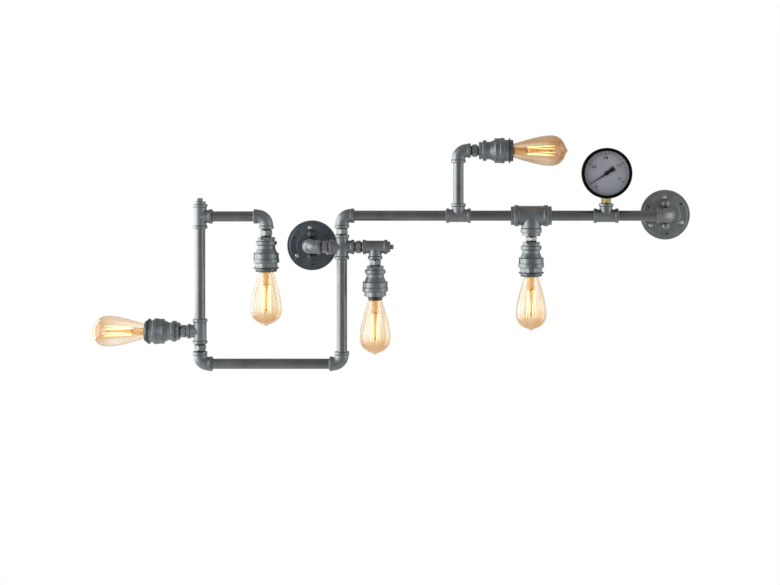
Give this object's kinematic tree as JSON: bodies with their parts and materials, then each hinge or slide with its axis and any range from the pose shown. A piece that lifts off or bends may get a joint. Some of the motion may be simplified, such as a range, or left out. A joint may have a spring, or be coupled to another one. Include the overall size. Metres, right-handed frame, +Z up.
{
  "type": "industrial pipe wall light",
  "caption": "Wall light built from threaded iron pipe, tees and elbows on two wall flanges, with drop-shaped screw bulbs in bell sockets and a round pressure gauge.",
  "frame": {"origin": "centre of the left wall flange's screw circle, on the wall face", "axes": "+X along the pipe runs to the right as seen from the room, +Y into the wall, +Z up"},
  "size_m": [1.2433, 0.098, 0.4865],
  "materials": {
    "left_flange_iron": "dark cast, worn",
    "right_flange_iron": "grey cast",
    "zinc_sheet": "zinc plated",
    "bright_fasteners": "bright plated",
    "galvanised_pipe": "satin gunmetal",
    "malleable_iron": "satin cast",
    "socket_iron": "satin cast",
    "black_bakelite": "black moulded",
    "knurled_ring": "knurled",
    "contact_brass": "plain",
    "amber_glass": "amber tinted",
    "bulb_cap_metal": "rolled",
    "filament": "glowing wire on a glass stem",
    "bulb_contact": "black glass with solder",
    "connector_brass": "machined",
    "gauge_case_steel": "satin black",
    "gauge_ring_black": "gloss black",
    "clear_glass": "clear",
    "dial_face": "grey enamel",
    "needle_black": "black",
    "movement_brass": "stamped",
    "cable_sheath": "smooth sheath"
  },
  "bodies": {
    "frame": {"left_wall_flange": "left_flange_iron", "right_wall_flange": "right_flange_iron", "wall_brackets": "zinc_sheet", "flange_fasteners": "bright_fasteners", "wall_nipples": "galvanised_pipe", "short_pipes": "galvanised_pipe", "long_pipes": "galvanised_pipe", "bottom_pipe": "galvanised_pipe", "wall_elbows": "malleable_iron", "cross_fitting": "malleable_iron", "left_top_tee": "malleable_iron", "left_side_tee": "malleable_iron", "plugged_lamp_tee": "malleable_iron", "riser_tee": "malleable_iron", "centre_large_tee": "malleable_iron", "gauge_tee": "malleable_iron", "left_arm_elbow": "malleable_iron", "upper_elbow": "malleable_iron", "riser_elbow": "malleable_iron", "lower_elbows": "malleable_iron", "square_plugs": "malleable_iron", "hex_nipples": "malleable_iron", "reducing_bushings": "malleable_iron", "lamp_bell_1": "socket_iron", "lamp_bell_2": "socket_iron", "lamp_bell_3": "socket_iron", "lamp_bell_4": "socket_iron", "lamp_bell_5": "socket_iron", "lampholder_bodies": "black_bakelite", "end_rings": "knurled_ring", "lampholder_contacts": "contact_brass", "gauge_connector": "connector_brass", "gauge_case": "gauge_case_steel", "gauge_ring": "gauge_ring_black", "gauge_window": "clear_glass", "gauge_dial": "dial_face", "gauge_movement": "movement_brass", "wiring_harness": "cable_sheath"},
    "bulb_1_contact": {"bulb_1_contact": "bulb_contact"},
    "bulb_1": {"bulb_1_cap": "bulb_cap_metal", "bulb_1_glass": "amber_glass", "bulb_1_filament": "filament"},
    "bulb_2_contact": {"bulb_2_contact": "bulb_contact"},
    "bulb_2": {"bulb_2_cap": "bulb_cap_metal", "bulb_2_glass": "amber_glass", "bulb_2_filament": "filament"},
    "bulb_3_contact": {"bulb_3_contact": "bulb_contact"},
    "bulb_3": {"bulb_3_cap": "bulb_cap_metal", "bulb_3_glass": "amber_glass", "bulb_3_filament": "filament"},
    "bulb_4_contact": {"bulb_4_contact": "bulb_contact"},
    "bulb_4": {"bulb_4_cap": "bulb_cap_metal", "bulb_4_glass": "amber_glass", "bulb_4_filament": "filament"},
    "bulb_5_contact": {"bulb_5_contact": "bulb_contact"},
    "bulb_5": {"bulb_5_cap": "bulb_cap_metal", "bulb_5_glass": "amber_glass", "bulb_5_filament": "filament"},
    "gauge_sector": {"gauge_sector": "movement_brass"},
    "gauge_needle": {"gauge_needle": "needle_black"}
  },
  "joints": [
    {"name": "bulb_1_travel", "type": "slide", "parent": "frame", "child": "bulb_1_contact", "axis": [0, 0, -1], "range_m": [0, 0.01633]},
    {"name": "bulb_1_turn", "type": "hinge", "parent": "bulb_1_contact", "child": "bulb_1", "pos_m": [-0.0861, -0.066, 0.0204], "axis": [0, 0, -1], "range_deg": [0, 1620]},
    {"name": "bulb_2_travel", "type": "slide", "parent": "frame", "child": "bulb_2_contact", "axis": [1, 0, 0], "range_m": [0, 0.01633]},
    {"name": "bulb_2_turn", "type": "hinge", "parent": "bulb_2_contact", "child": "bulb_2", "pos_m": [0.352, -0.066, 0.1986], "axis": [1, 0, 0], "range_deg": [0, 1620]},
    {"name": "bulb_3_travel", "type": "slide", "parent": "frame", "child": "bulb_3_contact", "axis": [0, 0, -1], "range_m": [0, 0.01633]},
    {"name": "bulb_3_turn", "type": "hinge", "parent": "bulb_3_contact", "child": "bulb_3", "pos_m": [0.46, -0.066, 0.0106], "axis": [0, 0, -1], "range_deg": [0, 1620]},
    {"name": "bulb_4_travel", "type": "slide", "parent": "frame", "child": "bulb_4_contact", "axis": [0, 0, -1], "range_m": [0, 0.01633]},
    {"name": "bulb_4_turn", "type": "hinge", "parent": "bulb_4_contact", "child": "bulb_4", "pos_m": [0.1383, -0.066, -0.0387], "axis": [0, 0, -1], "range_deg": [0, 1620]},
    {"name": "bulb_5_travel", "type": "slide", "parent": "frame", "child": "bulb_5_contact", "axis": [-1, 0, 0], "range_m": [0, 0.01633]},
    {"name": "bulb_5_turn", "type": "hinge", "parent": "bulb_5_contact", "child": "bulb_5", "pos_m": [-0.2637, -0.066, -0.1737], "axis": [-1, 0, 0], "range_deg": [0, 1620]},
    {"name": "gauge_sector_turn", "type": "hinge", "parent": "frame", "child": "gauge_sector", "pos_m": [0.6143, -0.07, 0.1328], "axis": [0, -1, 0], "range_deg": [0, 34.57], "stiffness_Nm_per_rad": 0.02, "springref_deg": -14.32},
    {"name": "gauge_needle_turn", "type": "hinge", "parent": "frame", "child": "gauge_needle", "pos_m": [0.6143, -0.07, 0.152], "axis": [0, 1, 0], "range_deg": [0, 242]}
  ],
  "couplings": [
    {"joint": "bulb_1_travel", "follows": "bulb_1_turn", "m_per_rad": 0.00057757},
    {"joint": "bulb_2_travel", "follows": "bulb_2_turn", "m_per_rad": 0.00057757},
    {"joint": "bulb_3_travel", "follows": "bulb_3_turn", "m_per_rad": 0.00057757},
    {"joint": "bulb_4_travel", "follows": "bulb_4_turn", "m_per_rad": 0.00057757},
    {"joint": "bulb_5_travel", "follows": "bulb_5_turn", "m_per_rad": 0.00057757},
    {"joint": "gauge_needle_turn", "follows": "gauge_sector_turn", "ratio": 7}
  ]
}
